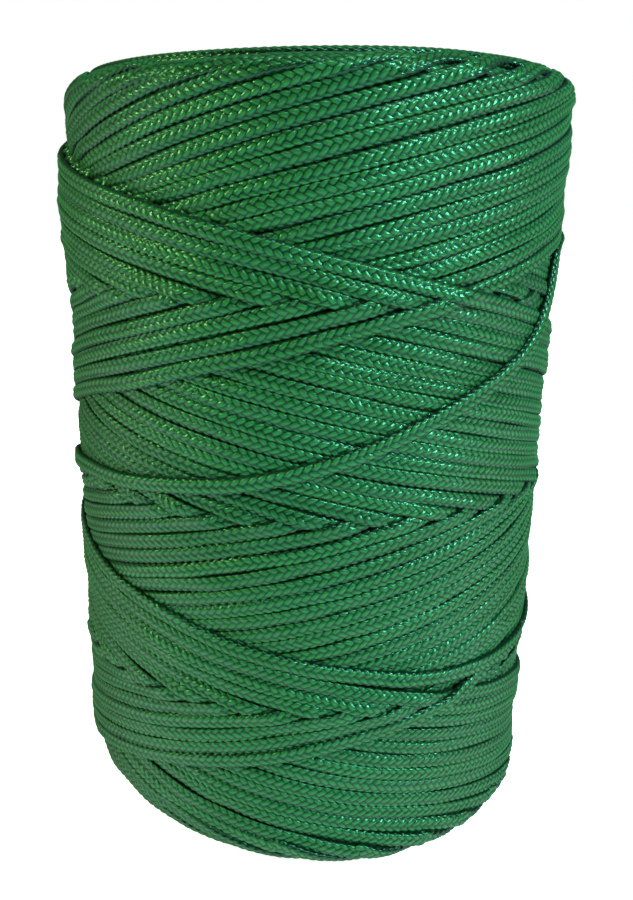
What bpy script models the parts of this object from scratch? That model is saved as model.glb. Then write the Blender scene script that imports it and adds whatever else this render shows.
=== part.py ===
"""A cross-wound package of flat braided twine on a cardboard tube.

The package stands on the lower end of its tube.  The origin is the centre of
that end, +Z runs up the tube, and the side with the loose slanting turn faces -Y.
The twine is one continuous cord.  Its windings are split where the winding
changes direction, so that each lay is a body of its own.
"""

import math

import bmesh
import bpy
from mathutils import Vector

# Driving dimensions, in metres.
CORD_THICKNESS = 0.0021
GAP = 0.0003

TUBE_OUTER_RADIUS = 0.0220
TUBE_WALL = 0.0030
TUBE_LENGTH = 0.1685
TUBE_EDGE_ROUND = 0.0006

PACKAGE_HEIGHT = 0.1670
RADIUS_AT_FLOOR = 0.0550
RADIUS_AT_TOP = 0.0568
LAY_DEPTH = 0.0120
FIRST_LAYERS_RADIUS = TUBE_OUTER_RADIUS + 0.0110
DEEP_LAY_INNER_RADIUS = FIRST_LAYERS_RADIUS + GAP
END_FACE_CLEARANCE = 0.0006

# The rounded shoulders: how far they reach inwards, and how far along the
# axis, which changes round the package because its last rings lie tilted.
TOP_SHOULDER_REACH = 0.0150
TOP_SHOULDER_HEIGHT = 0.0062
TOP_SHOULDER_TILT = 0.0050
TOP_SHOULDER_SHALLOW_SIDE = 31.0
FLOOR_SHOULDER_REACH = 0.0180
FLOOR_SHOULDER_HEIGHT = 0.0125
FLOOR_SHOULDER_TILT = 0.0095
FLOOR_SHOULDER_SHALLOW_SIDE = 25.0
SHOULDER_STEPS = 6
WALL_STEPS = 3

SECTORS = 72
NARROWEST_LAY = 0.0040

# Where one lay ends and the next begins: each is a tilted ring, given by its
# level, its tilt and the bearing of its low side, in degrees from -Y towards +X.
LAY_EDGES = {
    "bottom_to_lower_rising": (0.0270, 0.0110, -90.0),
    "lower_rising_to_lower_falling": (0.0390, 0.0000, 0.0),
    "lower_falling_to_middle_rising": (0.0562, 0.0139, 63.0),
    "middle_rising_to_middle_falling": (0.0810, 0.0000, 0.0),
    "middle_falling_to_upper_rising": (0.1140, 0.0170, -90.0),
    "upper_rising_to_upper_falling": (0.1225, 0.0000, 0.0),
    "upper_falling_to_top": (0.1315, 0.0165, 90.0),
}

# The last turn comes round the back, slants loosely over the lays at the front and
# ends tucked in at the back: bearing in degrees, height in metres.
LOOSE_TURN_ROUTE = (
    (-230.0, 0.0500),
    (-205.0, 0.0545),
    (-160.0, 0.0640),
    (-110.0, 0.0755),
    (-85.0, 0.0800),
    (-60.0, 0.0830),
    (-40.0, 0.0836),
    (-20.0, 0.0860),
    (0.0, 0.0903),
    (20.0, 0.0974),
    (40.0, 0.1052),
    (50.0, 0.1100),
    (60.0, 0.1168),
    (64.0, 0.1220),
    (69.0, 0.1285),
    (75.0, 0.1325),
    (90.0, 0.1340),
)
OUTER_END_ROUTE = (
    (92.0, 0.1340),
    (105.0, 0.1335),
    (125.0, 0.1295),
    (142.0, 0.1200),
    (152.0, 0.1090),
    (158.0, 0.0980),
    (162.0, 0.0890),
)
ROUTE_POINT_SPACING = 0.0058
CORD_RADIUS_ON_SURFACE = CORD_THICKNESS / 2.0

# The last turn of each lay that lies over its neighbour: level, tilt and bearing
# of the low side as for the lay edges, then the bearings where it comes out from
# under other turns and where it goes under them again.
EDGE_TURNS = {
    "turn_over_top_lay": (0.1298, 0.0165, 90.0, -62.0, 52.0),
    "turn_over_middle_lay": (0.1155, 0.0172, -90.0, -72.0, 20.0),
    "turn_over_lower_lay": (0.0545, 0.0139, 63.0, -70.0, 62.0),
    "turn_over_bottom_lay": (0.0287, 0.0110, -90.0, -66.0, 40.0),
}
EDGE_TURN_STEP = 5.0

CARDBOARD_COLOUR = (0.43, 0.31, 0.19, 1.0)
TWINE_COLOURS = {
    "deep": (0.012, 0.130, 0.035, 1.0),
    "mid": (0.018, 0.190, 0.055, 1.0),
    "light": (0.030, 0.250, 0.085, 1.0),
}


def clear_scene():
    """Remove every object, so that the script gives the same result each run."""
    for old in list(bpy.data.objects):
        bpy.data.objects.remove(old, do_unlink=True)


def plain_material(name, colour, roughness):
    """A Principled material with one colour."""
    material = bpy.data.materials.new(name)
    material.use_nodes = True
    shader = material.node_tree.nodes["Principled BSDF"]
    shader.inputs["Base Color"].default_value = colour
    shader.inputs["Roughness"].default_value = roughness
    shader.inputs["Metallic"].default_value = 0.0
    return material


def wall_radius(height):
    """Radius of the slightly tapered wall at a height, leaving out the shoulders."""
    share = height / PACKAGE_HEIGHT
    return RADIUS_AT_FLOOR + (RADIUS_AT_TOP - RADIUS_AT_FLOOR) * share


def tilted_ring(level, tilt, low_side, bearing):
    """Height of a tilted ring at a bearing."""
    return level - tilt * math.cos(math.radians(bearing - low_side))


def shoulder_cut(reach, extent, depth):
    """How far a shoulder of a reach and extent draws in at a depth into it."""
    share = min(max(depth / extent, 0.0), 1.0)
    return reach * (1.0 - math.sqrt(1.0 - share * share))


def floor_shoulder_height(bearing):
    """How high the lower shoulder rises at a bearing."""
    return tilted_ring(
        FLOOR_SHOULDER_HEIGHT, FLOOR_SHOULDER_TILT, FLOOR_SHOULDER_SHALLOW_SIDE, bearing
    )


def top_shoulder_height(bearing):
    """How far down the upper shoulder comes at a bearing."""
    return tilted_ring(
        TOP_SHOULDER_HEIGHT, TOP_SHOULDER_TILT, TOP_SHOULDER_SHALLOW_SIDE, bearing
    )


def outer_radius(height, bearing):
    """Radius of the package at a height and bearing, shoulders included."""
    rise = floor_shoulder_height(bearing)
    drop = top_shoulder_height(bearing)
    depth_in_floor = END_FACE_CLEARANCE + rise - height
    depth_in_top = height - (PACKAGE_HEIGHT - drop)
    radius = wall_radius(height)
    radius -= shoulder_cut(FLOOR_SHOULDER_REACH, rise, depth_in_floor)
    radius -= shoulder_cut(TOP_SHOULDER_REACH, drop, depth_in_top)
    return radius


def lay_edge(name, bearing):
    """Height of one lay edge at a bearing, held clear of the edges below it."""
    lowest = 0.0
    for edge_name, (level, tilt, low_side) in LAY_EDGES.items():
        height = tilted_ring(level, tilt, low_side, bearing)
        height = max(height, lowest + NARROWEST_LAY)
        if edge_name == name:
            return height
        lowest = height
    raise KeyError(name)


def at_bearing(radius, height, bearing):
    """Point at a radius and height, at a bearing from -Y towards +X."""
    angle = math.radians(bearing)
    return Vector((radius * math.sin(angle), -radius * math.cos(angle), height))


def wall_section(low, high, bearing):
    """Section of a lay on the wall, as (radius, height) pairs."""
    section = [(wall_radius(low) - LAY_DEPTH, low)]
    for step in range(WALL_STEPS + 1):
        height = low + (high - low) * step / WALL_STEPS
        section.append((outer_radius(height, bearing), height))
    section.append((wall_radius(high) - LAY_DEPTH, high))
    return section


def top_section(bearing):
    """Section of the top lay, with its shoulder and its part of the end face."""
    low = lay_edge("upper_falling_to_top", bearing) + GAP
    drop = top_shoulder_height(bearing)
    section = [(DEEP_LAY_INNER_RADIUS, low), (outer_radius(low, bearing), low)]
    for step in range(SHOULDER_STEPS + 1):
        turn = 0.5 * math.pi * step / SHOULDER_STEPS
        height = PACKAGE_HEIGHT - drop * (1.0 - math.sin(turn))
        section.append((outer_radius(height, bearing), height))
    section.append((DEEP_LAY_INNER_RADIUS, PACKAGE_HEIGHT))
    return section


def bottom_section(bearing):
    """Section of the bottom lay, with its shoulder rising from the floor."""
    high = lay_edge("bottom_to_lower_rising", bearing) - GAP
    rise = min(floor_shoulder_height(bearing), high - 2.0 * END_FACE_CLEARANCE)
    section = [(DEEP_LAY_INNER_RADIUS, END_FACE_CLEARANCE)]
    for step in range(SHOULDER_STEPS + 1):
        turn = 0.5 * math.pi * step / SHOULDER_STEPS
        height = END_FACE_CLEARANCE + rise * (1.0 - math.cos(turn))
        section.append((outer_radius(height, bearing), height))
    section.append((outer_radius(high, bearing), high))
    section.append((DEEP_LAY_INNER_RADIUS, high))
    return section


def swept_ring(name, section_at, material):
    """A closed ring whose section, counter-clockwise in (radius, height), may change."""
    mesh = bpy.data.meshes.new(name)
    bm = bmesh.new()
    rings = []
    for sector in range(SECTORS):
        bearing = 360.0 * sector / SECTORS
        section = section_at(bearing)
        rings.append([bm.verts.new(at_bearing(r, z, bearing)) for r, z in section])
    count = len(rings[0])
    for sector in range(SECTORS):
        here = rings[sector]
        beyond = rings[(sector + 1) % SECTORS]
        for i in range(count):
            j = (i + 1) % count
            bm.faces.new((here[i], beyond[i], beyond[j], here[j]))
    bmesh.ops.recalc_face_normals(bm, faces=bm.faces)
    bm.to_mesh(mesh)
    bm.free()
    mesh.shade_smooth()
    mesh.set_sharp_from_angle(angle=math.radians(35.0))
    mesh.materials.append(material)
    ring = bpy.data.objects.new(name, mesh)
    bpy.context.collection.objects.link(ring)
    return ring


def core_tube(material):
    """The cardboard tube, with lightly rounded rims."""
    inner = TUBE_OUTER_RADIUS - TUBE_WALL
    outer = TUBE_OUTER_RADIUS
    ease = TUBE_EDGE_ROUND
    section = [
        (inner, ease),
        (inner + ease, 0.0),
        (outer - ease, 0.0),
        (outer, ease),
        (outer, TUBE_LENGTH - ease),
        (outer - ease, TUBE_LENGTH),
        (inner + ease, TUBE_LENGTH),
        (inner, TUBE_LENGTH - ease),
    ]
    return swept_ring("core_tube", lambda bearing: section, material)


def inner_windings(first_material, middle_material):
    """The layers between the tube and the outer lays, in two nested bodies."""
    low = END_FACE_CLEARANCE
    high = PACKAGE_HEIGHT - END_FACE_CLEARANCE
    first_inner = TUBE_OUTER_RADIUS + GAP
    first = [
        (first_inner, low),
        (FIRST_LAYERS_RADIUS, low),
        (FIRST_LAYERS_RADIUS, high),
        (first_inner, high),
    ]

    def middle(bearing):
        foot = lay_edge("bottom_to_lower_rising", bearing) + GAP
        head = lay_edge("upper_falling_to_top", bearing) - GAP
        return [
            (DEEP_LAY_INNER_RADIUS, foot),
            (wall_radius(foot) - LAY_DEPTH - GAP, foot),
            (wall_radius(head) - LAY_DEPTH - GAP, head),
            (DEEP_LAY_INNER_RADIUS, head),
        ]

    swept_ring("winding_first_layers", lambda bearing: first, first_material)
    swept_ring("winding_middle_layers", middle, middle_material)


def wall_lay(name, lower_edge, upper_edge, material):
    """One lay of turns between two lay edges."""

    def section_at(bearing):
        low = lay_edge(lower_edge, bearing) + GAP
        high = lay_edge(upper_edge, bearing) - GAP
        return wall_section(low, high, bearing)

    return swept_ring(name, section_at, material)


def outer_lays(deep, mid, light):
    """The eight lays that make up the outside, from the floor up."""
    edges = list(LAY_EDGES)
    names = (
        "lay_lower_rising",
        "lay_lower_falling",
        "lay_middle_rising",
        "lay_middle_falling",
        "lay_upper_rising",
        "lay_upper_falling",
    )
    swept_ring("lay_bottom_falling", bottom_section, deep)
    for index, name in enumerate(names):
        material = mid if index % 2 == 0 else light
        wall_lay(name, edges[index], edges[index + 1], material)
    swept_ring("lay_top_rising", top_section, deep)


def smooth_route(route):
    """Evenly spaced (bearing, height) pairs on a smooth curve through a route."""
    dense = []
    last = len(route) - 1
    steps = 24
    for i in range(last):
        before = route[max(i - 1, 0)]
        start = route[i]
        end = route[i + 1]
        after = route[min(i + 2, last)]
        for step in range(steps):
            t = step / steps
            point = []
            for k in range(2):
                point.append(
                    0.5
                    * (
                        2.0 * start[k]
                        + (end[k] - before[k]) * t
                        + (2.0 * before[k] - 5.0 * start[k] + 4.0 * end[k] - after[k]) * t * t
                        + (3.0 * start[k] - before[k] - 3.0 * end[k] + after[k]) * t * t * t
                    )
                )
            dense.append(tuple(point))
    dense.append(route[last])
    even = [dense[0]]
    for bearing, height in dense[1:]:
        across = math.radians(bearing - even[-1][0]) * wall_radius(height)
        if math.hypot(across, height - even[-1][1]) >= ROUTE_POINT_SPACING:
            even.append((bearing, height))
    even[-1] = dense[-1]
    return even


def cord_on_wall(name, route, material):
    """A length of cord lying on the wall, as a tube with filled ends."""
    curve = bpy.data.curves.new(name, "CURVE")
    curve.dimensions = "3D"
    curve.bevel_depth = CORD_RADIUS_ON_SURFACE
    curve.bevel_resolution = 2
    curve.use_fill_caps = True
    points = smooth_route(route)
    spline = curve.splines.new("POLY")
    spline.points.add(len(points) - 1)
    lift = CORD_RADIUS_ON_SURFACE + GAP
    for target, (bearing, height) in zip(spline.points, points):
        place = at_bearing(outer_radius(height, bearing) + lift, height, bearing)
        target.co = (place.x, place.y, place.z, 1.0)
    curve.materials.append(material)
    cord = bpy.data.objects.new(name, curve)
    bpy.context.collection.objects.link(cord)
    return cord


def edge_turns(material):
    """The turns that lie over the edge of a neighbouring lay."""
    for name, (level, tilt, low_side, start, end) in EDGE_TURNS.items():
        count = round((end - start) / EDGE_TURN_STEP)
        route = []
        for i in range(count + 1):
            bearing = start + (end - start) * i / count
            route.append((bearing, tilted_ring(level, tilt, low_side, bearing)))
        cord_on_wall(name, route, material)


def main():
    clear_scene()
    cardboard = plain_material("cardboard", CARDBOARD_COLOUR, 0.85)
    deep = plain_material("twine_deep", TWINE_COLOURS["deep"], 0.55)
    mid = plain_material("twine_mid", TWINE_COLOURS["mid"], 0.55)
    light = plain_material("twine_light", TWINE_COLOURS["light"], 0.55)
    core_tube(cardboard)
    inner_windings(deep, mid)
    outer_lays(deep, mid, light)
    edge_turns(light)
    cord_on_wall("loose_turn", LOOSE_TURN_ROUTE, light)
    cord_on_wall("outer_cord_end", OUTER_END_ROUTE, light)


main()
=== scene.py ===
"""Looks for the cross-wound package of braided twine.

The cord is wound here the way the real one is: stroke after stroke, up and down the
tube, each laid on the height of what is already there.  The stretches that show are
built as a flat braid with its strands in relief.  Lengths are in millimetres and
bearings in degrees from -Y towards +X, unless a comment says otherwise.
"""

import math

import bpy
import numpy as np
from mathutils import Matrix, Vector


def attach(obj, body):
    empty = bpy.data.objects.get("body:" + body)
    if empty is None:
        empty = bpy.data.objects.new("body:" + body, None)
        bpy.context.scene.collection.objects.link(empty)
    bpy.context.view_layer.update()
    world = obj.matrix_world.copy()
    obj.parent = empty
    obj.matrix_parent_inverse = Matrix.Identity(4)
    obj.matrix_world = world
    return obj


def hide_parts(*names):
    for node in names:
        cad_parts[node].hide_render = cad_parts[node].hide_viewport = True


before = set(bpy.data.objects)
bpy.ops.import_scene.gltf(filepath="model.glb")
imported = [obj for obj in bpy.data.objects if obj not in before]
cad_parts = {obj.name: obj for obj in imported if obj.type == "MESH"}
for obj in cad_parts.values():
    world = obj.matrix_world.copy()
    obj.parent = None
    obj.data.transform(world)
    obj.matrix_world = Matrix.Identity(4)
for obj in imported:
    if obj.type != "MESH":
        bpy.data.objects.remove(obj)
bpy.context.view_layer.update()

MM = 0.001
rng = np.random.default_rng(7)

# ----------------------------------------------------------------------------
# The package
# ----------------------------------------------------------------------------
HEIGHT = 167.0
RADIUS_FLOOR = 55.0
RADIUS_TOP = 56.8
FLOOR_LEVEL = 0.6
# Each shoulder is a quarter ellipse.  REACH is how far in it goes.  Its height has a
# mean and a swing round the package, and is lowest at a bearing.
TOP_REACH = 13.5
TOP_DROP = (6.9, 2.8, 35.0)
FLOOR_REACH = 16.0
FLOOR_RISE = (12.7, 8.8, 30.0)

CORD_WIDTH = 3.32
CORD_THICK = 1.8
SECTION_POWER = 2.8


def smoothstep(x):
    x = np.clip(x, 0.0, 1.0)
    return x * x * (3.0 - 2.0 * x)


def hump(x, middle, width):
    """A bell curve, 1 at its middle."""
    return np.exp(-(((x - middle) / width) ** 2))


def shoulder_height(bearing, mean, swing, lowest_at):
    return mean - swing * np.cos(np.radians(bearing - lowest_at))


def wall_radius(height):
    return RADIUS_FLOOR + (RADIUS_TOP - RADIUS_FLOOR) * height / HEIGHT


# ----------------------------------------------------------------------------
# The surface that the cord is wound on, by bearing and t, which is the height on the
# wall and goes on over the shoulders as a length.
# ----------------------------------------------------------------------------


def along_shoulder(past, reach, drop):
    """Angle on a quarter ellipse after a length of it, and the length of all of it."""
    angle = np.linspace(0.0, 0.5 * math.pi, 49)
    speed = np.hypot(reach * np.sin(angle), drop[..., None] * np.cos(angle))
    parts = 0.5 * (speed[..., 1:] + speed[..., :-1]) * angle[1]
    start = np.zeros(drop.shape + (1,))
    length = np.concatenate((start, np.cumsum(parts, axis=-1)), axis=-1)
    whole = length[..., -1]
    wanted = np.clip(past, 0.0, whole)[..., None]
    k = np.clip((length < wanted).sum(axis=-1, keepdims=True) - 1, 0, len(angle) - 2)
    low = np.take_along_axis(length, k, axis=-1)
    high = np.take_along_axis(length, k + 1, axis=-1)
    turn = (k + (wanted - low) / (high - low)) * angle[1]
    return turn[..., 0], whole


def surface(bearing, t):
    """Radius and height of the surface, and its outward normal in that plane."""
    bearing, t = np.broadcast_arrays(np.asarray(bearing, float), np.asarray(t, float))
    drop = shoulder_height(bearing, *TOP_DROP)
    rise = shoulder_height(bearing, *FLOOR_RISE)
    radius = wall_radius(np.clip(t, 0.0, HEIGHT))
    height = t.copy()
    n_r = np.ones_like(t)
    n_z = np.zeros_like(t)
    for edge, size, reach, lift, way in (
        (HEIGHT - drop, drop, TOP_REACH, 0.0, 1.0),
        (rise, rise, FLOOR_REACH, FLOOR_LEVEL, -1.0),
    ):
        past = way * (t - edge)
        turn, arc_length = along_shoulder(past, reach, size)
        over = np.maximum(past - arc_length, 0.0)
        inward = reach * (1.0 - np.cos(turn)) + over
        length = np.hypot(np.cos(turn) * size, np.sin(turn) * reach)
        beyond = past > 0.0
        radius = np.where(beyond, wall_radius(edge) - inward, radius)
        height = np.where(beyond, edge + way * size * np.sin(turn) + lift, height)
        n_r = np.where(beyond, np.cos(turn) * size / length, n_r)
        n_z = np.where(beyond, way * np.sin(turn) * reach / length, n_z)
    return radius, height, n_r, n_z


def at_bearing(radius, height, bearing):
    angle = np.radians(bearing)
    return np.stack((radius * np.sin(angle), -radius * np.cos(angle), height), axis=-1)


# ----------------------------------------------------------------------------
# The strokes, newest last.  Bearings count on past 360 as the cord goes round.
# ----------------------------------------------------------------------------
STROKES = 30
SHIFT_PER_STROKE = 13.7
# The rising strokes get steeper with height, the falling ones keep one slope.
RISE_SLOPE = 0.215
RISE_GROWTH = 0.06 / 167.0
RISE_BASE = RISE_SLOPE / RISE_GROWTH
FALL_SLOPE = 0.2293
NEWEST_RISE_AT_FRONT = 28.7
NEWEST_FALL_AT_FRONT = 130.6
# Near the top the rising turns lie closer together.
CLOSER_FROM = 118.0
CLOSER_OVER = 30.0
CLOSER_BY = 0.07
# Where a stroke turns back at the top, further in where the shoulder is sharpest, and
# how far its turn bulges up past that, between two heights.
TOP_TURN_STARTS = 162.5
TOP_TURN_AHEAD = 15.0
TOP_TURN_FURTHER = 0.6
SHARPEST_AT = 60.0
TOP_TURN_BULGE = (-0.8, 2.6)
# Where it starts and ends, past the lower shoulder.
FLOOR_END = -15.0
# Degrees between the points of a stroke.
STEP = 0.5
# Strokes are off their even spacing by this many degrees, all but the newest two.
STROKE_JITTER = 0.40
# A stroke wanders up and down by mm, and tilts by degrees: how much, and the bearing
# over which it changes.
WANDER = (0.13, 16.0)
TILT = (3.0, 25.0)


def hermite(x, x0, x1, y0, y1, s0, s1):
    """Cubic from (x0, y0) with slope s0 to (x1, y1) with slope s1."""
    h = x1 - x0
    u = (x - x0) / h
    return (
        y0 * (2 * u**3 - 3 * u**2 + 1)
        + y1 * (-2 * u**3 + 3 * u**2)
        + s0 * h * (u**3 - 2 * u**2 + u)
        + s1 * h * (u**3 - u**2)
    )


def rising_height(bearing):
    """Height of the newest rising stroke; it passes the front at 0 and at 360."""
    return (NEWEST_RISE_AT_FRONT + RISE_BASE) * np.exp(RISE_GROWTH * bearing) - RISE_BASE


def rising_bearing(height):
    return math.log((height + RISE_BASE) / (NEWEST_RISE_AT_FRONT + RISE_BASE)) / RISE_GROWTH


def falling_height(bearing):
    """Height of the newest falling stroke; bearing 0 is its upper pass of the front."""
    return NEWEST_FALL_AT_FRONT - FALL_SLOPE * bearing


def falling_bearing(height):
    return (NEWEST_FALL_AT_FRONT - height) / FALL_SLOPE


def wander(count, reach, spacing):
    """Slow random values along a stroke."""
    knots = max(int(count * STEP / spacing) + 3, 4)
    values = rng.normal(0.0, reach, knots)
    x = np.linspace(0, knots - 1, count)
    i = np.clip(np.floor(x).astype(int), 0, knots - 2)
    f = smoothstep(x - i)
    return values[i] * (1 - f) + values[i + 1] * f


RISE, FALL, LOOSE = 0, 1, 2
strokes = []


def add_stroke(bearing, height, kind, wandering=WANDER):
    """Add a stroke, with the lightness of its cord and where its braid starts."""
    strokes.append(
        {
            "kind": kind,
            "bearing": bearing,
            "t": height + wander(len(bearing), *wandering),
            "tilt": wander(len(bearing), *TILT),
            "tone": float(rng.normal(0.0, 1.0)),
            "phase": float(rng.uniform(0.0, 8.0)),
        }
    )


# Turns that run along the rims, under everything else.
RIM_TURNS = (-15.8, -12.4, -9.0, 167.0, 170.4, 173.8, 177.2)
RIM_SWAY = 0.35
for level in RIM_TURNS:
    round_rim = rng.uniform(120.0, 240.0) + np.arange(0.0, 360.0 + STEP, STEP)
    sway = RIM_SWAY * np.cos(np.radians(2.0 * round_rim + rng.uniform(0.0, 360.0)))
    kind_of_all = np.full(len(round_rim), RISE if level > 0.5 * HEIGHT else FALL)
    add_stroke(round_rim, level + sway, kind_of_all, wandering=(0.0, WANDER[1]))

jitter = rng.normal(0.0, STROKE_JITTER, (STROKES + 2, 2))
jitter[:2] = 0.0

# The newest falling turn flattens out on the right, low down, goes round the back
# and becomes the slack turn at the front; its end lies on the winding at the back.
# Bearing and height.
LAST_TURNS = np.array(
    [(360, 48.0), (370, 46.1), (380, 44.2), (390, 42.9), (400, 42.0), (410, 41.6)]
    + [(422, 42.2), (440, 44.6), (470, 50.0), (520, 58.5), (580, 70.0), (620, 77.0)]
    + [(640, 80.4), (660, 82.6), (680, 83.6), (700, 86.0), (710, 87.9), (720, 90.3)]
    + [(730, 93.4), (740, 97.3), (750, 101.2), (760, 105.2), (770, 110.0), (780, 116.6)]
    + [(784, 120.6), (788, 126.6), (792, 130.8), (798, 133.0), (812, 134.0), (825, 133.5)]
    + [(845, 129.5), (862, 120.0), (872, 109.0), (878, 98.0), (881, 89.0)]
)
SLACK_FROM = 425.0


def add_last_turns(local, height):
    """Put the last turns in place of the newest falling stroke's lower end."""
    x, y = LAST_TURNS.T
    slope = np.gradient(y, x)
    keep = local < x[0]
    tail = np.arange(x[0], x[-1], STEP)
    i = np.clip(np.searchsorted(x, tail, side="right") - 1, 0, len(x) - 2)
    late = hermite(tail, x[i], x[i + 1], y[i], y[i + 1], slope[i], slope[i + 1])
    return np.concatenate((local[keep], tail)), np.concatenate((height[keep], late))


rise_from = rising_bearing(FLOOR_END)
fall_to = falling_bearing(FLOOR_END)
slope_at_top = RISE_SLOPE + RISE_GROWTH * TOP_TURN_STARTS

for age in range(STROKES - 1, -1, -1):
    back = SHIFT_PER_STROKE * age
    turn_at = falling_bearing(TOP_TURN_STARTS) - TOP_TURN_AHEAD - back
    further = 1.0 + math.cos(math.radians(turn_at - SHARPEST_AT))
    level = TOP_TURN_STARTS + TOP_TURN_FURTHER * further

    local = np.arange(rise_from, rising_bearing(level), STEP)
    up_height = rising_height(local)
    closer = 1.0 - CLOSER_BY * smoothstep((up_height - CLOSER_FROM) / CLOSER_OVER)
    up = local - back * closer - jitter[age, 1]

    local = np.arange(falling_bearing(level), fall_to, STEP)
    down_height = falling_height(local)
    if age == 0:
        local, down_height = add_last_turns(local, down_height)
        down_kind = np.where(local < SLACK_FROM, FALL, LOOSE)
    else:
        down_kind = np.full(len(local), FALL)
    down = local + 720.0 - back - jitter[age, 0]

    turn = np.arange(up[-1] + STEP, down[0] - 0.5 * STEP, STEP)
    bulge = rng.uniform(*TOP_TURN_BULGE)
    turn_height = hermite(
        turn, up[-1], down[0], up_height[-1], down_height[0], slope_at_top, -FALL_SLOPE
    )
    turn_height += bulge * np.sin(math.pi * (turn - up[-1]) / (down[0] - up[-1])) ** 2
    half = turn < 0.5 * (up[-1] + down[0])
    add_stroke(
        np.concatenate((up, turn, down)),
        np.concatenate((up_height, turn_height, down_height)),
        np.concatenate((np.full(len(up), RISE), np.where(half, RISE, FALL), down_kind)),
    )

# ----------------------------------------------------------------------------
# Winding: each stroke is laid on the height of what is there already.
# ----------------------------------------------------------------------------
CELL_BEARING = 0.25
CELL_T = 0.25
T_FIRST = -24.0
T_LAST = 190.0
CELLS_AROUND = int(round(360.0 / CELL_BEARING))
CELLS_ALONG = int(round((T_LAST - T_FIRST) / CELL_T))
MEAN_RADIUS = 56.0
MM_PER_DEGREE = math.radians(1.0) * MEAN_RADIUS

# Places across the cord's width, and the height of its outside there.
ACROSS = np.linspace(-0.5, 0.5, 15)
EDGE_FALL = (1.0 - np.abs(2.0 * ACROSS) ** SECTION_POWER) ** (1.0 / SECTION_POWER)

# How much of its thickness the cord stands above its support, and how much of that
# support comes from the higher places under it.
BEDDING = 0.26
HIGH_SHARE = 0.45
# It leans with what is under it, up to a limit, and not all the way.
LEAN_SPAN = 0.62
LEAN_LIMIT = 0.5
LEAN_SHARE = 0.6
# Points laid at a time, and points before them that are pulled taut with them.
STRETCH = 200
RUN_IN = 60
TAUT_STRIDES = (12, 8, 4, 2)

ground = np.zeros((CELLS_AROUND, CELLS_ALONG))


def cells(bearing, t):
    i = np.round(bearing / CELL_BEARING).astype(int) % CELLS_AROUND
    j = np.clip(np.round((t - T_FIRST) / CELL_T).astype(int), 0, CELLS_ALONG - 1)
    return i, j


def look_up(field, bearing, t):
    return field[cells(bearing, t)]


def smooth(values, width):
    """Gaussian smoothing along a stroke, width in samples."""
    reach = int(3 * width) + 1
    x = np.arange(-reach, reach + 1)
    kernel = np.exp(-0.5 * (x / width) ** 2)
    kernel /= kernel.sum()
    padded = np.concatenate((np.full(reach, values[0]), values, np.full(reach, values[-1])))
    return np.convolve(padded, kernel, mode="valid")


def pull_taut(radius):
    """Lift a cord where it spans straight between two higher places."""
    for stride in TAUT_STRIDES + TAUT_STRIDES:
        if len(radius) <= 2 * stride:
            continue
        left = radius[: -2 * stride]
        right = radius[2 * stride :]
        cosine = math.cos(math.radians(stride * STEP))
        middle = 2.0 * left * right * cosine / (left + right)
        radius[stride:-stride] = np.maximum(radius[stride:-stride], middle)
    return radius


def places_across(stroke):
    """Bearing and t of the places across the cord, for each point of a stroke."""
    bearing, t = stroke["bearing"], stroke["t"]
    slope = np.gradient(t, bearing * MM_PER_DEGREE)
    length = np.hypot(1.0, slope)
    across_b = -slope / length / MM_PER_DEGREE
    across_t = 1.0 / length
    width = CORD_WIDTH * ACROSS[None, :]
    return (
        bearing[:, None] + across_b[:, None] * width,
        t[:, None] + across_t[:, None] * width,
    )


def outside_of(centre, lean):
    """Height of the cord's outside at the places across it."""
    top = centre[:, None] + 0.5 * CORD_THICK * EDGE_FALL[None, :]
    return top + lean[:, None] * (CORD_WIDTH * ACROSS)[None, :]


def deposit(field, centre, lean, place_b, place_t):
    """Raise the field to the outside of a stretch of cord."""
    x = np.arange(len(centre))
    fine = np.linspace(0, len(centre) - 1, 4 * len(centre))
    top = outside_of(np.interp(fine, x, centre), np.interp(fine, x, lean))
    b = np.stack([np.interp(fine, x, column) for column in place_b.T], axis=1)
    t = np.stack([np.interp(fine, x, column) for column in place_t.T], axis=1)
    np.maximum.at(field, cells(b, t), top)


def lay(stroke, field):
    """Lay a stroke on the field, a stretch at a time, so that it crosses itself too."""
    place_b, place_t = places_across(stroke)
    count = len(stroke["bearing"])
    support, slant, centre, lean = (np.zeros(count) for _ in range(4))
    for first in range(0, count, STRETCH):
        last = min(first + STRETCH, count)
        below = look_up(field, place_b[first:last], place_t[first:last])
        inner = np.sort(below[:, 2:-2], axis=1)
        support[first:last] = (
            HIGH_SHARE * inner[:, -3]
            + (1.0 - HIGH_SHARE) * inner.mean(axis=1)
            + BEDDING * CORD_THICK
        )
        tip = below[:, -5:-1].mean(axis=1) - below[:, 1:5].mean(axis=1)
        slant[first:last] = np.clip(tip / (LEAN_SPAN * CORD_WIDTH), -LEAN_LIMIT, LEAN_LIMIT)
        start = max(first - RUN_IN, 0)
        taut = pull_taut(MEAN_RADIUS + smooth(support[start:last], 2.0))
        centre[first:last] = smooth(taut - MEAN_RADIUS, 2.0)[first - start :]
        lean[first:last] = LEAN_SHARE * smooth(slant[start:last], 3.0)[first - start :]
        new = slice(max(first - 1, 0), last)
        deposit(field, centre[new], lean[new], place_b[new], place_t[new])
    stroke["centre"] = centre
    stroke["lean"] = lean


for stroke in strokes:
    lay(stroke, ground)

# ----------------------------------------------------------------------------
# The broad swell of the finished winding is taken off again, so that it keeps the
# shape that it should and only the relief of its turns stays.
# ----------------------------------------------------------------------------
SURFACE_LIFT = 0.1
LAID_ABOVE = 0.5
# Neighbourhoods, in degrees and mm: on the wall, and a smaller one at the upper rim,
# which takes over from a height and over a height.
BROADLY = (12.0, 4.0)
CLOSELY = (7.0, 1.8)
RIM_FROM = 152.0
RIM_OVER = 8.0


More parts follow.
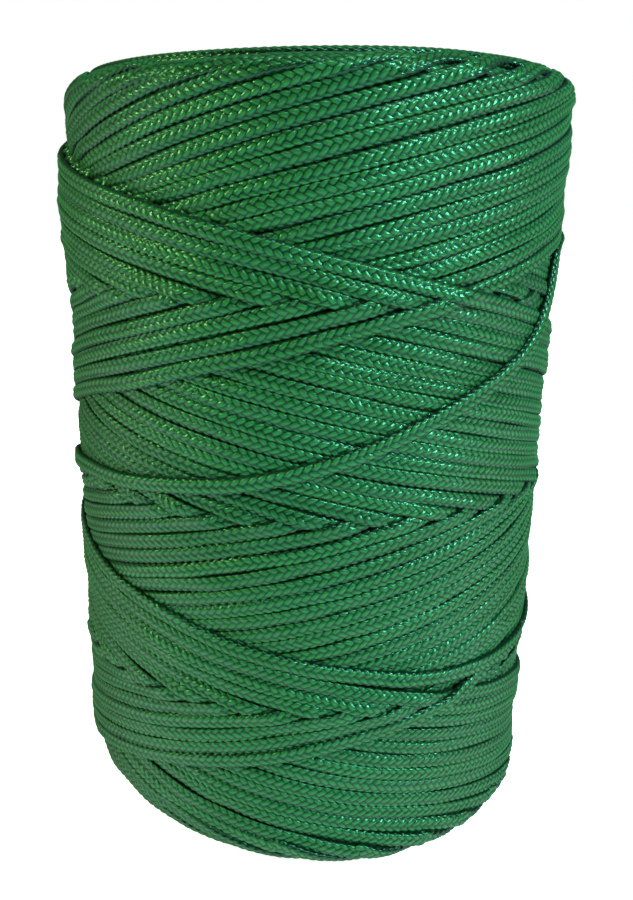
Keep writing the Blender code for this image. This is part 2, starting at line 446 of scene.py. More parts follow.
def broad_mean(field, weight, width_b, width_t):
    """Weighted mean of a field over a broad neighbourhood, round the package."""
    rows, columns = field.shape
    pad = columns
    freq_b = np.fft.fftfreq(rows)[:, None]
    freq_t = np.fft.rfftfreq(columns + pad)[None, :]
    spread = (freq_b * width_b / CELL_BEARING) ** 2 + (freq_t * width_t / CELL_T) ** 2
    gauss = np.exp(-2.0 * (math.pi**2) * spread)
    both = []
    for part in (field * weight, weight):
        wide = np.concatenate((part, np.zeros((rows, pad))), axis=1)
        both.append(np.fft.irfft2(np.fft.rfft2(wide) * gauss, s=wide.shape)[:, :columns])
    return both[0] / np.maximum(both[1], 1e-3)


laid = (ground > LAID_ABOVE).astype(float)
level = T_FIRST + CELL_T * np.arange(CELLS_ALONG)[None, :]
around = CELL_BEARING * np.arange(CELLS_AROUND)[:, None]
at_rim = smoothstep((level - RIM_FROM) / RIM_OVER)
swell = broad_mean(ground, laid, *BROADLY) * (1.0 - at_rim)
swell += broad_mean(ground, laid, *CLOSELY) * at_rim
swell -= SURFACE_LIFT
for stroke in strokes:
    stroke["centre"] = stroke["centre"] - look_up(swell, stroke["bearing"], stroke["t"])
ground -= swell


def facing(bearing, power=1.0):
    """1 where the package faces that bearing, down to 0 at right angles to it."""
    return np.clip(np.cos(np.radians(around - bearing)), 0.0, 1.0) ** power


# The package isn't quite round and even, by these heights over the surface.
# A little slack all round under the upper rim, and slack on the left, full on the right.
shape = -0.3 * hump(level, 161.0, 6.0)
shape = shape - 1.1 * np.cos(np.radians(around + 80.0)) * hump(level, 152.0, 12.0)
# The rim is highest at the front right, and the lower edge is full there.
shape += (0.3 + 1.3 * facing(52.0, 2.5)) * smoothstep((level - 158.0) / 8.0)
shape += 2.2 * facing(22.0, 1.5) * hump(level, 2.0, 5.0)
# On the left the newest falling turns stand proud of the turns above them.
from_front = np.where(around > 180.0, around - 360.0, around)
under_edge = falling_height(from_front) - level
proud = smoothstep((under_edge + 2.2) / 1.4) * (1.0 - smoothstep((under_edge - 14.0) / 12.0))
shape += 1.5 * proud * facing(-85.0)

# ----------------------------------------------------------------------------
# Which stretches show
# ----------------------------------------------------------------------------
# A place shows if nothing lies this far over it.  Stretches that show are made longer
# at both ends, joined over short gaps, and left out if they are very short.
HIDDEN_UNDER = 0.45
LONGER_BY = 2.6
JOINED_OVER = 5.0
FEWEST_POINTS = 7
# At the upper rim, where many turns pile up, the ones above this height are pressed
# down to a share of it, and they lean less.
PRESSED_ABOVE = -0.85
PRESSED_TO = 0.1
PRESSED_FROM = 153.0
PRESSED_OVER = 6.0
RIM_UPRIGHT = 0.7


def showing(stroke):
    """Index ranges of a stroke that can be seen from outside."""
    final = look_up(ground, *places_across(stroke))
    own = outside_of(stroke["centre"], stroke["lean"])
    seen = (final[:, 1:-1] - own[:, 1:-1] < HIDDEN_UNDER).sum(axis=1) >= 2
    grow = int(round(LONGER_BY / (STEP * MM_PER_DEGREE)))
    wide = np.convolve(seen.astype(float), np.ones(2 * grow + 1), mode="same") > 0.5
    gap = int(round(JOINED_OVER / (STEP * MM_PER_DEGREE)))
    edges = np.flatnonzero(np.diff(np.concatenate(([0], wide.astype(int), [0]))))
    merged = []
    for first, last in edges.reshape(-1, 2):
        if merged and first - merged[-1][1] < gap:
            merged[-1][1] = last
        else:
            merged.append([first, last])
    return [pair for pair in merged if pair[1] - pair[0] >= FEWEST_POINTS]


for stroke in strokes:
    stroke["shown"] = showing(stroke)
    centre = stroke["centre"]
    pressed = np.where(
        centre > PRESSED_ABOVE, PRESSED_ABOVE + PRESSED_TO * (centre - PRESSED_ABOVE), centre
    )
    rim = smoothstep((stroke["t"] - PRESSED_FROM) / PRESSED_OVER)
    centre = centre * (1.0 - rim) + pressed * rim
    stroke["centre"] = centre + look_up(shape, stroke["bearing"], stroke["t"])
    stroke["lean"] = stroke["lean"] * (1.0 - RIM_UPRIGHT * rim)

# ----------------------------------------------------------------------------
# The braid: two sets of six strands cross, each over two and under two of the other
# set.  A strand's relief is partly flat-topped and partly domed.
# ----------------------------------------------------------------------------
FLOAT_PITCH = 1.82
COLUMNS = 6.0
RELIEF = 0.30
RELIEF_MIDDLE = 0.75
RUN_SKEW = 1.15
FLAT_EDGE = 8.0
FLAT_ENDS = 0.3
FLAT_SHARE = 0.6
# Mesh density along the cord and round it, denser on the side that shows.
RING_STEP = 0.27
END_RING_STEP = 1.6 * RING_STEP
ARC_POINTS = 21
BACK_POINTS = 3
DENSE_HALF = 112.0
# The side of the section that faces out: its flat side, or one of its edges.
FLAT_SIDE, FIRST_EDGE, SECOND_EDGE = 90.0, 0.0, 180.0


def outline(angle):
    """Point of the cord's section at an angle."""
    a = np.radians(angle)
    c, s = np.cos(a), np.sin(a)
    x = 0.5 * CORD_WIDTH * np.sign(c) * np.abs(c) ** (2.0 / SECTION_POWER)
    y = 0.5 * CORD_THICK * np.sign(s) * np.abs(s) ** (2.0 / SECTION_POWER)
    return np.stack((x, y), axis=-1)


def section_points(arc_middle):
    """Section outline, dense on the side that shows, with its braid column."""
    ends = np.array((-DENSE_HALF, DENSE_HALF)) + arc_middle
    sparse = np.linspace(DENSE_HALF, 360.0 - DENSE_HALF, BACK_POINTS + 2)[1:-1] + arc_middle
    fine = np.linspace(-180.0, 180.0, 1441) + arc_middle
    steps = np.hypot(*np.diff(outline(fine), axis=0).T)
    run = np.concatenate(([0.0], np.cumsum(steps)))
    total = run[-1]
    # The dense points are spread evenly along the outline.
    where = np.linspace(*np.interp(ends, fine, run), ARC_POINTS)
    angles = np.concatenate((np.interp(where, run, fine), sparse))
    run_at = np.interp(np.where(angles > fine[-1], angles - 360.0, angles), fine, run)
    tangent = outline(angles + 0.5) - outline(angles - 0.5)
    tangent /= np.maximum(np.hypot(tangent[:, 0], tangent[:, 1]), 1e-9)[:, None]
    normal = np.stack((tangent[:, 1], -tangent[:, 0]), axis=-1)
    return outline(angles), normal, run_at / total * COLUMNS, total


def braid_relief(column, along):
    """Relief of the braid, 0 in the crevices to 1 on a strand's crown."""
    pitch = along / FLOAT_PITCH
    u = pitch + column
    v = pitch - column
    i = np.floor(u)
    j = np.floor(v)
    first_set = np.mod(i - j, 4.0) < 2.0
    over = np.where(first_set, v - j, u - i)
    run = np.where(first_set, np.mod(u - j, 4.0), np.mod(v - i + 3.0, 4.0)) * 0.5
    wave = np.maximum(np.sin(math.pi * np.clip(run, 0.0, 1.0) ** RUN_SKEW), 0.0)
    flat = (1.0 - np.abs(2.0 * over - 1.0) ** FLAT_EDGE) * wave**FLAT_ENDS
    dome = (1.0 - (2.0 * over - 1.0) ** 2) * wave
    return FLAT_SHARE * flat + (1.0 - FLAT_SHARE) * dome


class Batch:
    """Collects stretches of cord into one mesh."""

    def __init__(self, facing_out=FLAT_SIDE, ring_step=RING_STEP):
        self.ring_step = ring_step
        self.xy, self.normal, self.column, self.perimeter = section_points(facing_out)
        # 0 in the middle of the side that shows, 1 where the cord meets its neighbour.
        if facing_out == FLAT_SIDE:
            self.flank = np.abs(self.xy[:, 0]) / (0.5 * CORD_WIDTH)
        else:
            self.flank = np.abs(self.xy[:, 1]) / (0.5 * CORD_THICK)
        self.rings = []
        self.flanks = []
        self.along = []
        self.column_at = []
        self.tone = []
        self.spans = []
        self.count = 0

    def add(self, centre, outward, tone, phase, start=0.0):
        """Add a stretch: points of its middle, and the direction that faces out."""
        step = np.linalg.norm(np.diff(centre, axis=0), axis=1)
        run = np.concatenate(([0.0], np.cumsum(step)))
        n = max(int(run[-1] / self.ring_step), 4)
        at = np.linspace(0.0, run[-1], n + 1)
        p = np.stack([np.interp(at, run, centre[:, k]) for k in range(3)], axis=1)
        o = np.stack([np.interp(at, run, outward[:, k]) for k in range(3)], axis=1)
        tangent = np.gradient(p, axis=0)
        tangent /= np.linalg.norm(tangent, axis=1)[:, None]
        o = o - (o * tangent).sum(axis=1)[:, None] * tangent
        o /= np.linalg.norm(o, axis=1)[:, None]
        side = np.cross(tangent, o)
        along = start + at
        column = self.column[None, :] + phase
        relief = braid_relief(column, along[:, None])
        push = RELIEF * (relief - RELIEF_MIDDLE)
        x = self.xy[None, :, 0] + push * self.normal[None, :, 0]
        y = self.xy[None, :, 1] + push * self.normal[None, :, 1]
        ring = p[:, None, :] + x[..., None] * side[:, None, :] + y[..., None] * o[:, None, :]

        def spread(values):
            return np.broadcast_to(values, relief.shape).astype(np.float32)

        self.rings.append(ring.astype(np.float32) * MM)
        self.flanks.append(spread(self.flank))
        self.along.append(spread(along[:, None]))
        self.tone.append(spread(tone))
        self.column_at.append(spread(column))
        self.spans.append((self.count, n + 1))
        self.count += n + 1

    def build(self, name, material):
        around = len(self.column)
        points = np.concatenate(self.rings).reshape(-1, 3)
        quads = []
        caps = []
        for first, count in self.spans:
            base = first * around
            i = np.arange(count - 1)[:, None] * around
            j = np.arange(around)[None, :]
            k = (j + 1) % around
            quad = np.stack((i + j, i + around + j, i + around + k, i + k), axis=-1)
            quads.append(quad.reshape(-1, 4) + base)
            caps.append(np.arange(around) + base)
            caps.append(np.arange(around)[::-1] + base + (count - 1) * around)
        quads = np.concatenate(quads)
        loops = np.concatenate((quads.ravel(), np.concatenate(caps)))
        totals = np.concatenate((np.full(len(quads), 4), np.full(len(caps), around)))
        starts = np.cumsum(totals) - totals
        mesh = bpy.data.meshes.new(name)
        mesh.vertices.add(len(points))
        mesh.vertices.foreach_set("co", points.ravel())
        mesh.loops.add(len(loops))
        mesh.loops.foreach_set("vertex_index", loops.astype(np.int32))
        mesh.polygons.add(len(starts))
        mesh.polygons.foreach_set("loop_start", starts.astype(np.int32))
        mesh.polygons.foreach_set("loop_total", totals.astype(np.int32))
        mesh.update(calc_edges=True)
        mesh.validate()
        mesh.shade_smooth()

        for label, values in (("flank", self.flanks), ("tone", self.tone)):
            layer = mesh.attributes.new(label, "FLOAT", "POINT")
            layer.data.foreach_set("value", np.concatenate(values).ravel())

        def add_uv(label, u, v):
            layer = mesh.uv_layers.new(name=label)
            layer.data.foreach_set("uv", np.stack((u, v), axis=-1).astype(np.float32).ravel())

        # Braid coordinates: column across, pitches along.
        ring_of = loops // around
        slot_of = loops % around
        face_start = np.repeat(starts, totals)
        on_cap = np.repeat(totals, totals) != 4
        wraps = (slot_of[face_start] == around - 1) & (slot_of == 0) & ~on_cap
        column = np.concatenate(self.column_at).ravel()[loops]
        column[wraps] += COLUMNS
        add_uv("Braid", column, np.concatenate(self.along).ravel()[loops] / FLOAT_PITCH)

        # Bake layout: the rings in rows, one strip under the other.
        rows = max(int(math.sqrt(self.count * self.ring_step / self.perimeter)), 1)
        per_row = int(math.ceil(self.count / rows)) + 1
        face_ring = np.repeat(ring_of[starts], totals)
        row = face_ring // per_row
        u = (face_ring % per_row + (ring_of - face_ring)) / per_row
        u[on_cap] = 0.999
        v = slot_of.astype(float)
        v[wraps] += around
        add_uv("OFBake", u, (row + 0.04 + 0.92 * v / around) / (rows + 1))

        mesh.materials.append(material)
        return place(name, mesh)


def place(name, mesh):
    """Put a mesh in the scene as a piece of the winding."""
    piece = bpy.data.objects.new(name, mesh)
    bpy.context.collection.objects.link(piece)
    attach(piece, "root")
    return piece


# ----------------------------------------------------------------------------
# Materials
# ----------------------------------------------------------------------------


def new_material(name):
    material = bpy.data.materials.new(name)
    material.use_nodes = True
    tree = material.node_tree
    return material, tree, tree.nodes["Principled BSDF"]


def math_node(tree, operation, first, second=None, clamp=False):
    node = tree.nodes.new("ShaderNodeMath")
    node.operation = operation
    node.use_clamp = clamp
    for socket, value in zip(node.inputs, (first, second)):
        if value is None:
            continue
        if isinstance(value, (int, float)):
            socket.default_value = value
        else:
            tree.links.new(value, socket)
    return node.outputs[0]


def ramp_node(tree, factor, stops):
    """Colour ramp; each stop is a position, red, green and blue."""
    node = tree.nodes.new("ShaderNodeValToRGB")
    while len(node.color_ramp.elements) < len(stops):
        node.color_ramp.elements.new(0.5)
    for element, (position, *colour) in zip(node.color_ramp.elements, stops):
        element.position = position
        element.color = (*colour, 1.0)
    tree.links.new(factor, node.inputs[0])
    return node.outputs[0]


def noise_node(tree, vector, scale, detail):
    node = tree.nodes.new("ShaderNodeTexNoise")
    node.inputs["Scale"].default_value = scale
    node.inputs["Detail"].default_value = detail
    tree.links.new(vector, node.inputs["Vector"])
    return node.outputs["Fac"]


def multiply_colours(tree, first, *others):
    for other in others:
        node = tree.nodes.new("ShaderNodeMix")
        node.data_type = "RGBA"
        node.blend_type = "MULTIPLY"
        node.inputs["Factor"].default_value = 1.0
        tree.links.new(first, node.inputs[6])
        tree.links.new(other, node.inputs[7])
        first = node.outputs[2]
    return first


def add_bump(tree, shader, height, strength, distance):
    """Bump of a height; distance in metres."""
    node = tree.nodes.new("ShaderNodeBump")
    node.inputs["Strength"].default_value = strength
    node.inputs["Distance"].default_value = distance
    tree.links.new(height, node.inputs["Height"])
    tree.links.new(node.outputs[0], shader.inputs["Normal"])


def object_place(tree):
    return tree.nodes.new("ShaderNodeTexCoord").outputs["Object"]


def mesh_value(tree, name):
    node = tree.nodes.new("ShaderNodeAttribute")
    node.attribute_name = name
    return node.outputs["Fac"]


def braid_nodes(tree, uv):
    """The braid's relief from its own coordinates, as in braid_relief."""
    split = tree.nodes.new("ShaderNodeSeparateXYZ")
    tree.links.new(uv, split.inputs[0])
    column, pitch = split.outputs["X"], split.outputs["Y"]
    u = math_node(tree, "ADD", pitch, column)
    v = math_node(tree, "SUBTRACT", pitch, column)
    i = math_node(tree, "FLOOR", u)
    j = math_node(tree, "FLOOR", v)
    cell = math_node(tree, "FLOORED_MODULO", math_node(tree, "SUBTRACT", i, j), 4.0)
    first_set = math_node(tree, "LESS_THAN", cell, 1.5)
    over_first = math_node(tree, "SUBTRACT", v, j)
    over_second = math_node(tree, "SUBTRACT", u, i)
    run_first = math_node(tree, "FLOORED_MODULO", math_node(tree, "SUBTRACT", u, j), 4.0)
    run_second = math_node(tree, "ADD", math_node(tree, "SUBTRACT", v, i), 3.0)
    run_second = math_node(tree, "FLOORED_MODULO", run_second, 4.0)

    def choose(first, second):
        node = tree.nodes.new("ShaderNodeMix")
        for value, socket in zip((first_set, second, first), (0, 2, 3)):
            tree.links.new(value, node.inputs[socket])
        return node.outputs[0]

    over = choose(over_first, over_second)
    run = math_node(tree, "MULTIPLY", choose(run_first, run_second), 0.5)
    run = math_node(tree, "MINIMUM", run, 1.0)
    middle = math_node(tree, "SUBTRACT", math_node(tree, "MULTIPLY", over, 2.0), 1.0)
    middle = math_node(tree, "ABSOLUTE", middle)
    power = math_node(tree, "POWER", middle, FLAT_EDGE)
    flat_top = math_node(tree, "SUBTRACT", 1.0, power, clamp=True)
    power = math_node(tree, "POWER", middle, 2.0)
    round_top = math_node(tree, "SUBTRACT", 1.0, power, clamp=True)
    skewed = math_node(tree, "POWER", run, RUN_SKEW)
    wave = math_node(tree, "SINE", math_node(tree, "MULTIPLY", skewed, math.pi))
    wave = math_node(tree, "MAXIMUM", wave, 0.0)
    flat = math_node(tree, "MULTIPLY", flat_top, math_node(tree, "POWER", wave, FLAT_ENDS))
    dome = math_node(tree, "MULTIPLY", round_top, wave)
    relief = math_node(
        tree,
        "ADD",
        math_node(tree, "MULTIPLY", flat, FLAT_SHARE),
        math_node(tree, "MULTIPLY", dome, 1.0 - FLAT_SHARE),
    )
    set_number = math_node(tree, "MULTIPLY", first_set, 37.0)
    strand = math_node(tree, "ADD", choose(j, i), set_number)
    return relief, over, run, strand


def twine_material():
    material, tree, shader = new_material("twine_braid")
    braid = tree.nodes.new("ShaderNodeUVMap")
    braid.uv_map = "Braid"
    relief, over_strand, along_strand, strand = braid_nodes(tree, braid.outputs[0])
    # Strand colour with painted shade: darker towards the braid's crevices, lighter on the
    # strands' crowns.
    strands = ramp_node(
        tree,
        relief,
        (
            (0.18, 0.0002, 0.001, 0.002),
            (0.42, 0.0014, 0.017, 0.005),
            (0.64, 0.0044, 0.050, 0.009),
            (1.00, 0.0072, 0.072, 0.014),
        ),
    )
    # Each turn is a little lighter or darker than the next.
    tone = math_node(tree, "MULTIPLY", mesh_value(tree, "tone"), 0.14)
    shade = ramp_node(
        tree,
        math_node(tree, "ADD", tone, 0.5),
        ((0.0, 0.60, 0.66, 0.60), (1.0, 1.35, 1.28, 1.30)),
    )
    # Painted shade: dark between the turns, where little light gets in.
    gap = ramp_node(
        tree, mesh_value(tree, "flank"), ((0.77, 1.0, 1.0, 1.0), (0.95, 0.08, 0.10, 0.14))
    )
    # Slow colour change over the package.
    slow = noise_node(tree, object_place(tree), 45.0, 4.0)
    patch = ramp_node(tree, slow, ((0.30, 0.95, 0.90, 0.72), (0.70, 1.05, 1.08, 1.30)))
    # Filaments: fine streaks that run with each strand of the braid.
    streaks = tree.nodes.new("ShaderNodeCombineXYZ")
    for socket, value, scale in zip(
        streaks.inputs, (over_strand, along_strand, strand), (6.0, 1.2, 3.7)
    ):
        tree.links.new(math_node(tree, "MULTIPLY", value, scale), socket)
    filament = noise_node(tree, streaks.outputs[0], 1.0, 2.0)
    streak = ramp_node(tree, filament, ((0.35, 0.80, 0.82, 0.80), (0.65, 1.15, 1.12, 1.12)))
    colour = multiply_colours(tree, strands, shade, gap, patch, streak)
    tree.links.new(colour, shader.inputs["Base Color"])

    height = math_node(tree, "ADD", relief, math_node(tree, "MULTIPLY", filament, 0.25))
    add_bump(tree, shader, height, 0.3, 0.00015)
    rough = tree.nodes.new("ShaderNodeMapRange")
    rough.inputs["To Min"].default_value = 0.24
    rough.inputs["To Max"].default_value = 0.38
    tree.links.new(filament, rough.inputs["Value"])
    # Filaments seen edge-on scatter the light instead of mirroring it.
    edge_on = tree.nodes.new("ShaderNodeLayerWeight")
    edge_on.inputs["Blend"].default_value = 0.5
    softer = tree.nodes.new("ShaderNodeMapRange")
    softer.interpolation_type = "SMOOTHSTEP"
    softer.inputs["From Min"].default_value = 0.32
    softer.inputs["From Max"].default_value = 0.72
    softer.inputs["To Max"].default_value = 0.60
    tree.links.new(edge_on.outputs["Facing"], softer.inputs["Value"])
    roughness = math_node(tree, "ADD", rough.outputs[0], softer.outputs[0], clamp=True)
    tree.links.new(roughness, shader.inputs["Roughness"])
    shader.inputs["Specular IOR Level"].default_value = 0.42
    shader.inputs["Specular Tint"].default_value = (0.24, 1.0, 0.60, 1.0)
    shader.inputs["Sheen Weight"].default_value = 0.01
    shader.inputs["Sheen Roughness"].default_value = 0.4
    shader.inputs["Sheen Tint"].default_value = (0.45, 0.95, 0.60, 1.0)
    return material


def underlayer_material():
    material, tree, shader = new_material("twine_underlayer")
    wave = tree.nodes.new("ShaderNodeTexWave")
    wave.bands_direction = "Z"
    wave.inputs["Scale"].default_value = 95.0
    wave.inputs["Distortion"].default_value = 1.5
    tree.links.new(object_place(tree), wave.inputs["Vector"])
    turns = wave.outputs["Fac"]
    colour = ramp_node(tree, turns, ((0.2, 0.001, 0.010, 0.004), (0.9, 0.006, 0.060, 0.020)))
    tree.links.new(colour, shader.inputs["Base Color"])
    add_bump(tree, shader, turns, 0.6, 0.001)
    shader.inputs["Roughness"].default_value = 0.75
    return material


def cardboard_material():
    material, tree, shader = new_material("tube_cardboard")
    where = object_place(tree)
    fibre = noise_node(tree, where, 420.0, 5.0)
    board = ramp_node(
        tree,
        fibre,
        (
            (0.30, 0.235, 0.155, 0.085),
            (0.55, 0.345, 0.240, 0.140),
            (0.75, 0.430, 0.315, 0.195),
        ),
    )
    # The spiral seam of the outer ply, which climbs 75 mm a turn.
    split = tree.nodes.new("ShaderNodeSeparateXYZ")
    tree.links.new(where, split.inputs[0])
    angle = math_node(tree, "ARCTAN2", split.outputs["Y"], split.outputs["X"])
    turns = math_node(tree, "DIVIDE", angle, 2.0 * math.pi)
    climb = math_node(tree, "DIVIDE", split.outputs["Z"], 0.075)
    spiral = math_node(tree, "SUBTRACT", climb, turns)
    band = math_node(tree, "PINGPONG", spiral, 0.5)
    seam = ramp_node(tree, band, ((0.0, 0.55, 0.52, 0.48), (0.012, 1.0, 1.0, 1.0)))
    tree.links.new(multiply_colours(tree, board, seam), shader.inputs["Base Color"])
    add_bump(tree, shader, fibre, 0.25, 0.0003)
    shader.inputs["Roughness"].default_value = 0.88
    shader.inputs["Specular IOR Level"].default_value = 0.25
    return material


twine = twine_material()
underlayer = underlayer_material()
cardboard = cardboard_material()

# ----------------------------------------------------------------------------
# Build what shows: a piece for each lay and side of the package
# ----------------------------------------------------------------------------
SIDES = ("front", "right", "back", "left")
# The lays of each direction, with the height that each goes up to.
LAYS = {
    RISE: (
        (48.0, "lay_lower_rising"),
        (95.0, "lay_middle_rising"),
        (128.0, "lay_upper_rising"),
        (math.inf, "lay_top_rising"),
    ),
    FALL: (
        (25.0, "lay_bottom_falling"),
        (62.0, "lay_lower_falling"),
        (108.0, "lay_middle_falling"),
        (math.inf, "lay_upper_falling"),
    ),
    LOOSE: ((math.inf, "loose_turn"),),
}
# A stretch that goes from one lay to another is cut, if both parts are long enough.
CUT_CHECK = 8
SHORTEST_CUT = 40


def lay_of(stroke, i):
    """Which lay a point of a stroke belongs to, from its direction and height."""
    for below, name in LAYS[int(stroke["kind"][i])]:
        if stroke["t"][i] < below:
            return name


def cut_by_lay(stroke, first, last):
    """Index ranges of a shown stretch, cut where it goes from one lay to another."""
    cuts = [first]
    here = None
    for i in range(first, last, CUT_CHECK):
        key = lay_of(stroke, i)
        if here is None:
            here = key
        elif key != here and i - cuts[-1] > SHORTEST_CUT and last - i > SHORTEST_CUT:
            cuts.append(i)
            here = key
    cuts.append(last)
    return zip(cuts[:-1], cuts[1:])


batches = {}
for stroke in strokes:
    bearing = stroke["bearing"]
    radius, height, n_r, n_z = surface(bearing, stroke["t"])
    outward = at_bearing(n_r, n_z, bearing)
    centre = at_bearing(radius, height, bearing) + outward * stroke["centre"][:, None]
    centre[:, 2] = np.maximum(centre[:, 2], FLOOR_LEVEL + 0.5 * CORD_THICK)
    tangent = np.gradient(centre, axis=0)
    tangent /= np.linalg.norm(tangent, axis=1)[:, None]
    side = np.cross(tangent, outward)
    lean = np.radians(stroke["tilt"]) * 0.5 + np.arctan(stroke["lean"])
    turned = outward + lean[:, None] * side
    turned /= np.linalg.norm(turned, axis=1)[:, None]
    step = np.linalg.norm(np.diff(centre, axis=0), axis=1)
    run = np.concatenate(([0.0], np.cumsum(step)))
    for shown in stroke["shown"]:
        for first, last in cut_by_lay(stroke, *shown):
            middle = (first + last) // 2
            quarter = int(((bearing[middle] + 45.0) % 360.0) // 90.0)
            batch = batches.setdefault((lay_of(stroke, middle), SIDES[quarter]), Batch())
            part = slice(first, min(last + 1, len(centre)))
            batch.add(centre[part], turned[part], stroke["tone"], stroke["phase"], run[first])

pieces = {}
for (lay_name, side_name), batch in sorted(batches.items()):
    piece = batch.build("wound_" + lay_name + "_" + side_name, twine)
    pieces.setdefault(lay_name, []).append(piece)

# ----------------------------------------------------------------------------
# End faces: the turns lie on edge, ring inside ring
# ----------------------------------------------------------------------------
TUBE_RADIUS = 22.0
RING_PITCH = 2.12
OUTERMOST_RING = 51.5
# Each ring waves up and down and in and out, in a few orders round the package.
WAVE_ORDERS = (1, 2, 3, 5)
WAVE_UP_DOWN = 0.42
WAVE_IN_OUT = 0.10


def end_rings(name, facing_out, shoulder, reach, way):
    """Rings of one end face; way is 1 for the upper end and -1 for the lower one."""
    batch = Batch(facing_out, END_RING_STEP)
    bearing = np.arange(0.0, 360.0 + 1.0, 1.0)
    outward = at_bearing(np.ones_like(bearing), np.zeros_like(bearing), bearing)
    size = shoulder_height(bearing, *shoulder)
    edge = HEIGHT - size if way > 0.0 else size
    level = HEIGHT if way > 0.0 else FLOOR_LEVEL
    ring_radius = TUBE_RADIUS + 0.5 * CORD_THICK + 0.15
    while ring_radius < OUTERMOST_RING:
        waves = np.zeros_like(bearing)
        in_out = np.zeros_like(bearing)
        for order in WAVE_ORDERS:
            for wave, size_of_wave in ((waves, WAVE_UP_DOWN / order**0.5), (in_out, WAVE_IN_OUT)):
                amount = rng.normal(0.0, size_of_wave)
                wave += amount * np.cos(np.radians(order * bearing + rng.uniform(0.0, 360.0)))
        waves[-1] = waves[0]
        in_out[-1] = in_out[0]
        radius = ring_radius + in_out
        share = np.clip((radius - (wall_radius(edge) - reach)) / reach, 0.0, 1.0)
        depth = size * (1.0 - np.sqrt(1.0 - share**2))
        depth += 0.5 * CORD_WIDTH + np.abs(waves) + 0.1
        centre = at_bearing(radius, level - way * depth, bearing)
        batch.add(centre, outward, float(rng.normal()), float(rng.uniform(0, 8)))
        ring_radius += RING_PITCH
    return batch.build(name, twine)


end_top = end_rings("wound_end_top", FIRST_EDGE, TOP_DROP, TOP_REACH, 1.0)
end_floor = end_rings("wound_end_floor", SECOND_EDGE, FLOOR_RISE, FLOOR_REACH, -1.0)

# ----------------------------------------------------------------------------
# The body of the winding, under the turns that show
# ----------------------------------------------------------------------------
BODY_SIDES = 180
# Its outside follows the surface from t to t, in rows, this deep under it, and less
# deep at the upper rim.
BODY_FROM = 2.0
BODY_TO = 174.0
BODY_ROWS = 64
BODY_DEPTH = 2.6
BODY_DEPTH_AT_RIM = 2.1
BODY_RIM_FROM = 150.0
BODY_RIM_OVER = 10.0
BODY_BORE = 22.4
# It ends this far inside both end faces.
BODY_SHORT = 6.0


def winding_body(name, material):
    bearing = np.arange(BODY_SIDES) * 360.0 / BODY_SIDES
    rows = []
    for t in np.linspace(BODY_FROM, BODY_TO, BODY_ROWS):
        level = np.full(BODY_SIDES, t)
        radius, height, n_r, n_z = surface(bearing, level)
        rim = smoothstep((t - BODY_RIM_FROM) / BODY_RIM_OVER)
        shallower = BODY_DEPTH - BODY_DEPTH_AT_RIM + look_up(shape, bearing, level)
        depth = BODY_DEPTH - rim * shallower
        rows.append((radius - depth * n_r, height - depth * n_z))
    top = np.minimum(rows[-1][1], HEIGHT - BODY_SHORT) - 0.5
    # Down from the rim to the bore, through it, and out again at the bottom.
    for radius, height in (
        (40.0, top),
        (BODY_BORE, HEIGHT - BODY_SHORT - 0.5),
        (BODY_BORE, BODY_SHORT),
        (36.0, BODY_SHORT),
    ):
        rows.append((np.full(BODY_SIDES, radius), height + np.zeros(BODY_SIDES)))
    points = np.concatenate([at_bearing(r, z, bearing) for r, z in rows]) * MM
    faces = []
    for i in range(len(rows)):
        here = i * BODY_SIDES
        above = (i + 1) % len(rows) * BODY_SIDES
        for j in range(BODY_SIDES):
            k = (j + 1) % BODY_SIDES
            faces.append((here + j, here + k, above + k, above + j))
    mesh = bpy.data.meshes.new(name)
    mesh.from_pydata(points.tolist(), [], faces)
    mesh.shade_smooth()
    mesh.materials.append(material)
    return place(name, mesh)


body = winding_body("winding_body", underlayer)

# ----------------------------------------------------------------------------
# What each piece stands for
# ----------------------------------------------------------------------------
for lay_name, members in pieces.items():
    for piece in members:
        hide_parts(lay_name)
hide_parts("winding_middle_layers")
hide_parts("winding_first_layers")
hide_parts("winding_first_layers")
for piece in pieces["loose_turn"]:
    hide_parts("outer_cord_end")
for lay_name, turn_over in (
    ("lay_upper_falling", "turn_over_top_lay"),
    ("lay_upper_rising", "turn_over_middle_lay"),
    ("lay_lower_falling", "turn_over_lower_lay"),
    ("lay_lower_rising", "turn_over_bottom_lay"),
):
    for piece in pieces[lay_name]:
        if piece.name.endswith("front"):
            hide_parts(turn_over)

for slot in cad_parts["core_tube"].material_slots:
    slot.material = cardboard

# ----------------------------------------------------------------------------
# Floor, light and camera, in metres
# ----------------------------------------------------------------------------
WHITE = (1.0, 1.0, 1.0, 1.0)
FLOOR_HALF = 3.0


def area_light(name, spot, aim, size, power, colour):
    light = bpy.data.lights.new(name, "AREA")
    light.shape = "RECTANGLE"
    light.size, light.size_y = size
    light.energy = power
    light.color = colour
    lamp = bpy.data.objects.new(name, light)
    lamp.location = spot
    lamp.rotation_euler = (Vector(aim) - Vector(spot)).to_track_quat("-Z", "Y").to_euler()
    bpy.context.collection.objects.link(lamp)


area_light(
    "right", (0.50, -0.42, 0.50), (0.0, 0.0, 0.10), (0.07, 0.10), 8.9, (0.62, 0.97, 1.0)
)
area_light(
    "left", (-0.60, -0.25, 0.42), (0.0, 0.0, 0.09), (0.08, 0.12), 3.9, (1.0, 0.95, 0.42)
)

sun = bpy.data.lights.new("sun", "SUN")
sun.energy = 1.8
sun.angle = math.radians(18.0)
sun_lamp = bpy.data.objects.new("sun", sun)
sun_lamp.rotation_euler = (math.radians(21.0), math.radians(7.0), 0.0)
bpy.context.collection.objects.link(sun_lamp)

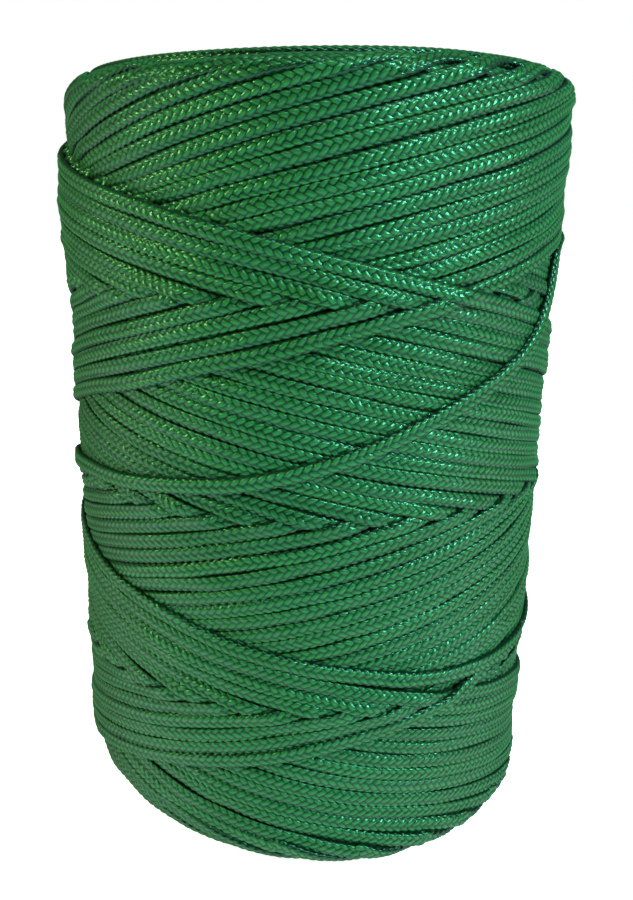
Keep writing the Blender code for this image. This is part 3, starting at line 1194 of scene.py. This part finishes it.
floor_mesh = bpy.data.meshes.new("floor")
corners = [(x * FLOOR_HALF, y * FLOOR_HALF, 0.0) for x, y in ((-1, -1), (1, -1), (1, 1), (-1, 1))]
floor_mesh.from_pydata(corners, [], [(0, 1, 2, 3)])
floor = bpy.data.objects.new("floor", floor_mesh)
bpy.context.collection.objects.link(floor)
floor_paint, _, floor_shader = new_material("floor_paint")
floor_shader.inputs["Base Color"].default_value = (0.92, 0.92, 0.92, 1.0)
floor_shader.inputs["Roughness"].default_value = 0.9
floor_shader.inputs["Emission Color"].default_value = WHITE
floor_shader.inputs["Emission Strength"].default_value = 0.95
floor_mesh.materials.append(floor_paint)

world = bpy.data.worlds.new("studio")
bpy.context.scene.world = world
world.use_nodes = True
nodes, links = world.node_tree.nodes, world.node_tree.links
room = nodes["Background"]
room.inputs["Color"].default_value = WHITE
room.inputs["Strength"].default_value = 0.08
# A white sweep behind everything, which lights nothing.
sweep = nodes.new("ShaderNodeBackground")
sweep.inputs["Color"].default_value = WHITE
either = nodes.new("ShaderNodeMixShader")
links.new(nodes.new("ShaderNodeLightPath").outputs["Is Camera Ray"], either.inputs[0])
links.new(room.outputs[0], either.inputs[1])
links.new(sweep.outputs[0], either.inputs[2])
links.new(either.outputs[0], nodes["World Output"].inputs["Surface"])

CAMERA_DISTANCE = 0.230
CAMERA_HEIGHT = 0.142
CAMERA_PITCH = 15.2
CAMERA_ROLL = 1.0

camera_data = bpy.data.cameras.new("camera")
camera_data.sensor_width = 36.0
camera_data.lens = 37.84
camera_data.shift_x = 0.009
camera_data.clip_start = 0.01
camera = bpy.data.objects.new("camera", camera_data)
bpy.context.collection.objects.link(camera)
camera.location = (0.0, -CAMERA_DISTANCE, CAMERA_HEIGHT)
camera.rotation_mode = "XYZ"
look = Matrix.Rotation(math.radians(90.0 - CAMERA_PITCH), 4, "X") @ Matrix.Rotation(
    math.radians(CAMERA_ROLL), 4, "Z"
)
camera.rotation_euler = look.to_euler("XYZ")
bpy.context.scene.camera = camera
bpy.context.scene.view_settings.view_transform = "Standard"
